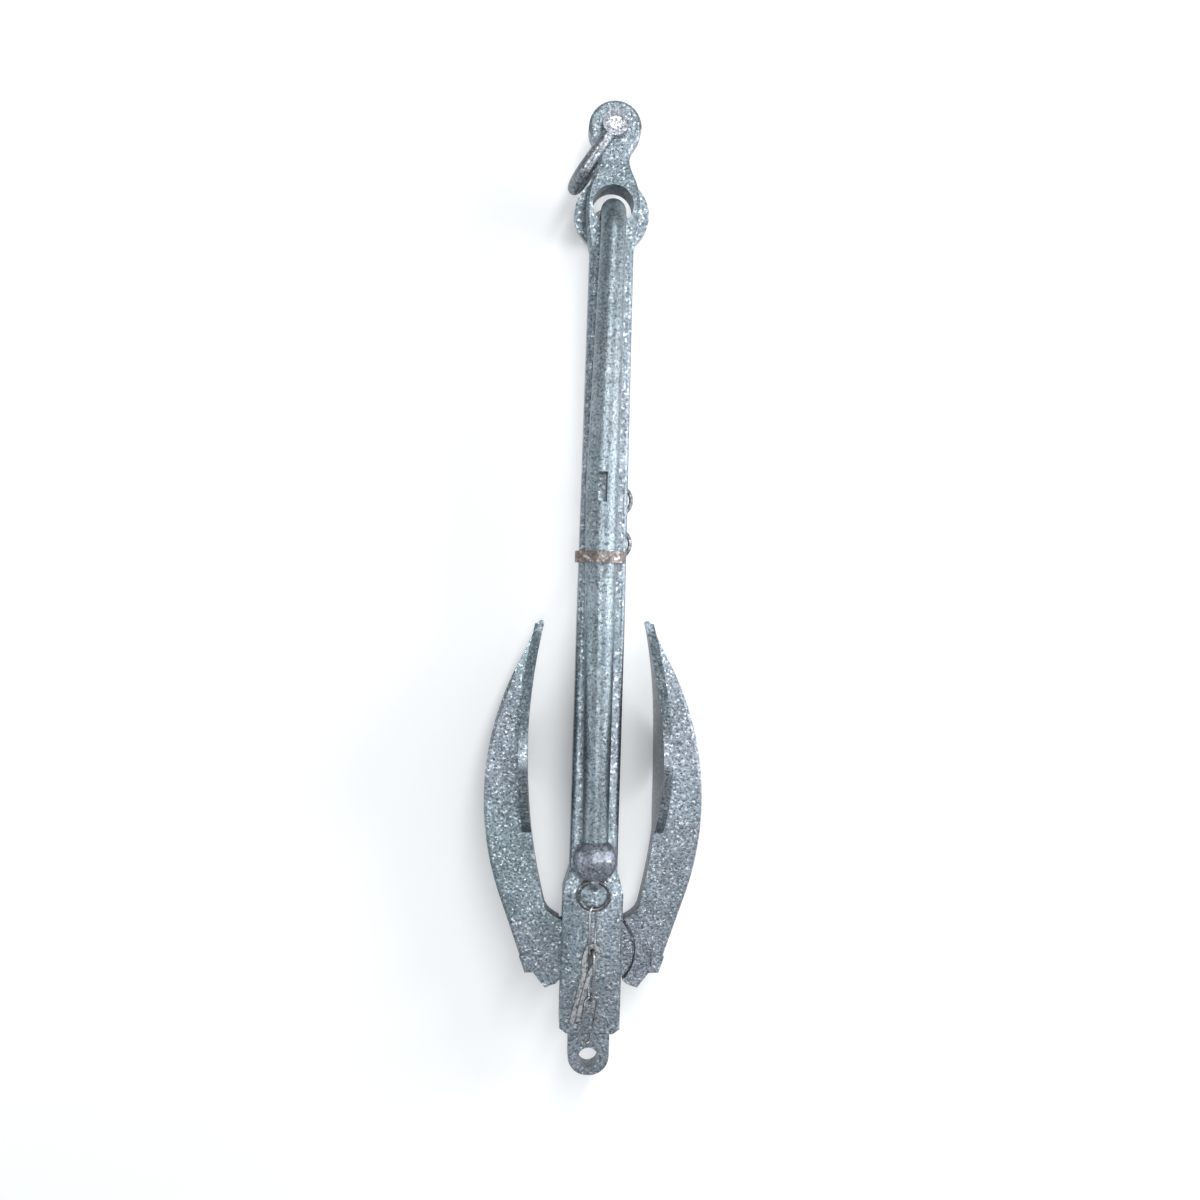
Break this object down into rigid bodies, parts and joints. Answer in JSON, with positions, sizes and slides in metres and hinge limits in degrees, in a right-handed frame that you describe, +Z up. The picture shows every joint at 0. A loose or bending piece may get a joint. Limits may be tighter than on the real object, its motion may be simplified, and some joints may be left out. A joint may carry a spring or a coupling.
{
  "type": "fisherman anchor",
  "caption": "Folding fisherman anchor, stowed: palmed arms fold along the shank, the bent stock lies in front, with shackle, ring, chain and forelock key",
  "frame": {"origin": "centre of the ground outline, on the ground under the stowed anchor", "axes": "+Y runs along the shank from the crown to the head eye, +X to the right seen from above, +Z up off the ground"},
  "size_m": [0.175, 0.7832, 0.12],
  "materials": {
    "galvanised": "hot-dip galvanised forging, dull grey-blue with a pitted orange-peel skin",
    "galvanised_arm": "hot-dip galvanised forging, speckled on the arm and smoother on the palm",
    "galvanised_bar": "hot-dip galvanised round bar, dull with a soft highlight",
    "galvanised_ball": "hot-dip galvanised ball, mottled lavender grey with bright patches",
    "rusty_collar": "galvanised collar with a dark rusty patch",
    "pin_steel": "dull steel pin end",
    "shackle_steel": "galvanised shackle, brighter on the worn pin end",
    "ring_steel": "darker grey galvanised wire",
    "chain_steel": "bright galvanised chain wire",
    "key_steel": "bright folded strip steel"
  },
  "bodies": {
    "shank": {"shank": "galvanised", "crown_pin": "pin_steel", "rear_staple_1": "ring_steel", "rear_staple_2": "ring_steel"},
    "left_arm": {"left_arm": "galvanised_arm"},
    "right_arm": {"right_arm": "galvanised_arm"},
    "stock": {"stock_bar": "galvanised_bar", "stock_collar": "rusty_collar", "stock_end_ball": "galvanised_ball", "stock_rear_ball": "galvanised_ball"},
    "shackle": {"shackle_bow": "shackle_steel", "shackle_pin": "shackle_steel"},
    "ring": {"stock_ring": "ring_steel"},
    "link_1": {"chain_link_1": "chain_steel"},
    "link_2": {"chain_link_2": "chain_steel"},
    "link_3": {"chain_link_3": "chain_steel"},
    "key": {"forelock_key": "key_steel"},
    "upper_lashing_ring": {"rear_ring_1": "ring_steel"},
    "lower_lashing_ring": {"rear_ring_2": "ring_steel"}
  },
  "joints": [
    {"name": "left_arm_fold", "type": "hinge", "parent": "shank", "child": "left_arm", "pos_m": [0.00211, -0.2906, 0.06], "axis": [0, 0, 1], "range_deg": [-2, 44]},
    {"name": "right_arm_fold", "type": "hinge", "parent": "shank", "child": "right_arm", "pos_m": [0.00211, -0.2906, 0.06], "axis": [0, 0, -1], "range_deg": [0, 46]},
    {"name": "stock_swing", "type": "hinge", "parent": "shank", "child": "stock", "pos_m": [0.00211, 0.3007, 0.06], "axis": [0, 0, 1], "range_deg": [-3, 3]},
    {"name": "shackle_swing", "type": "hinge", "parent": "shank", "child": "shackle", "pos_m": [0.00211, 0.3704, 0.06], "axis": [0, 0, -1], "range_deg": [0, 293]},
    {"name": "ring_lift", "type": "hinge", "parent": "stock", "child": "ring", "pos_m": [0.00211, -0.2321, 0.0956], "axis": [-1, 0, 0], "range_deg": [0, 85]},
    {"name": "link_1_lift", "type": "hinge", "parent": "ring", "child": "link_1", "pos_m": [0.00211, -0.25553, 0.0888], "axis": [-1, 0, 0], "range_deg": [0, 30]},
    {"name": "link_2_lift", "type": "hinge", "parent": "link_1", "child": "link_2", "pos_m": [0.00211, -0.29143, 0.0888], "axis": [-1, 0, 0], "range_deg": [0, 10]},
    {"name": "link_3_lift", "type": "hinge", "parent": "link_2", "child": "link_3", "pos_m": [0.00211, -0.32743, 0.0888], "axis": [-1, 0, 0], "range_deg": [0, 20]},
    {"name": "key_swing", "type": "hinge", "parent": "link_2", "child": "key", "pos_m": [0.00211, -0.29143, 0.0888], "axis": [0, 0, -1], "range_deg": [0, 12]},
    {"name": "upper_ring_lift", "type": "hinge", "parent": "shank", "child": "upper_lashing_ring", "pos_m": [0.01291, 0.0839, 0.0429], "axis": [1, 0, 0], "range_deg": [0, 90]},
    {"name": "lower_ring_lift", "type": "hinge", "parent": "shank", "child": "lower_lashing_ring", "pos_m": [0.01291, 0.0484, 0.0429], "axis": [1, 0, 0], "range_deg": [0, 90]}
  ]
}
